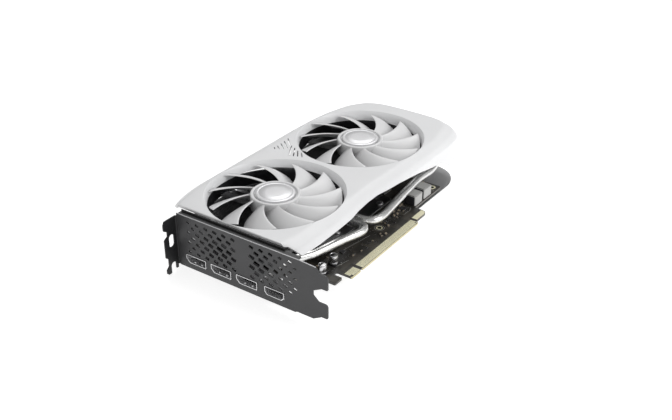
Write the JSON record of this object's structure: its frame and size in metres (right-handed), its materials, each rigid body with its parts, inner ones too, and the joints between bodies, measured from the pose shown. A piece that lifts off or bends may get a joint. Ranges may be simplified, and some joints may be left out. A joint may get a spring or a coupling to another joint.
{
  "type": "graphics card",
  "caption": "Graphics card with spinning fans in a white shroud, heat pipes and fin stacks, a slotted dark bracket, display sockets and edge contacts.",
  "frame": {"origin": "centre of the underside of the whole card, lying on its back with the fans up", "axes": "+X from the input-output bracket to the tail, +Y from the slot contacts to the top edge of the card, +Z out of the fans"},
  "size_m": [0.236, 0.1372, 0.0442],
  "materials": {
    "white_plastic": "satin moulded white plastic",
    "fan_plastic": "satin moulded light grey plastic",
    "satin_metal": "brushed satin",
    "nickel": "bright nickel plating",
    "fin_aluminium": "plain rolled sheet",
    "black_steel": "fine dark grey powder coat",
    "screw_steel": "machined",
    "socket_steel": "tinned sheet steel",
    "board": "black solder mask with faint tracks",
    "black_plastic": "moulded black nylon",
    "chip": "matt epoxy",
    "choke": "pressed grey powder",
    "copper": "enamelled winding wire",
    "magnet": "bonded magnet",
    "backplate_metal": "satin grey coated aluminium",
    "cable": "black insulated leads"
  },
  "bodies": {
    "card": {"shroud": "white_plastic", "fan_stator_front": "copper", "fan_stator_rear": "copper", "fan_mount_front": "fan_plastic", "fan_mount_rear": "fan_plastic", "fin_stack_front": "fin_aluminium", "fin_stack_centre": "fin_aluminium", "fin_stack_rear": "fin_aluminium", "cold_plate": "nickel", "heat_pipe_front": "nickel", "heat_pipe_rear": "nickel", "memory_plate": "fin_aluminium", "circuit_board": "board", "gpu_package": "board", "gpu_die": "satin_metal", "memory_chip_1": "chip", "memory_chip_2": "chip", "memory_chip_3": "chip", "memory_chip_4": "chip", "edge_choke_1": "choke", "edge_choke_2": "choke", "choke_1": "choke", "choke_2": "choke", "choke_3": "choke", "capacitor_1": "satin_metal", "capacitor_2": "satin_metal", "power_connector": "black_plastic", "fan_header": "black_plastic", "fan_lead_front": "cable", "fan_lead_rear": "cable", "bracket": "black_steel", "displayport_1": "socket_steel", "displayport_2": "socket_steel", "displayport_3": "socket_steel", "hdmi_port": "socket_steel", "backplate": "backplate_metal", "retention_frame": "screw_steel", "bracket_screw_1": "screw_steel", "bracket_screw_2": "screw_steel", "backplate_screw_1": "screw_steel", "backplate_screw_2": "screw_steel", "backplate_screw_3": "screw_steel", "backplate_screw_4": "screw_steel", "spring_screw_1": "screw_steel", "spring_screw_2": "screw_steel", "spring_screw_3": "screw_steel", "spring_screw_4": "screw_steel", "plate_screw_1": "screw_steel", "plate_screw_2": "screw_steel"},
    "fan_front": {"fan_rotor_front": "fan_plastic", "fan_cap_front": "satin_metal", "fan_shaft_front": "screw_steel", "fan_magnet_front": "magnet"},
    "fan_rear": {"fan_rotor_rear": "fan_plastic", "fan_cap_rear": "satin_metal", "fan_shaft_rear": "screw_steel", "fan_magnet_rear": "magnet"}
  },
  "joints": [
    {"name": "front_fan_spin", "type": "hinge", "parent": "card", "child": "fan_front", "pos_m": [-0.05033, 0.013, 0.032], "axis": [0, 0, 1], "continuous": true},
    {"name": "rear_fan_spin", "type": "hinge", "parent": "card", "child": "fan_rear", "pos_m": [0.05167, 0.013, 0.032], "axis": [0, 0, 1], "continuous": true}
  ]
}
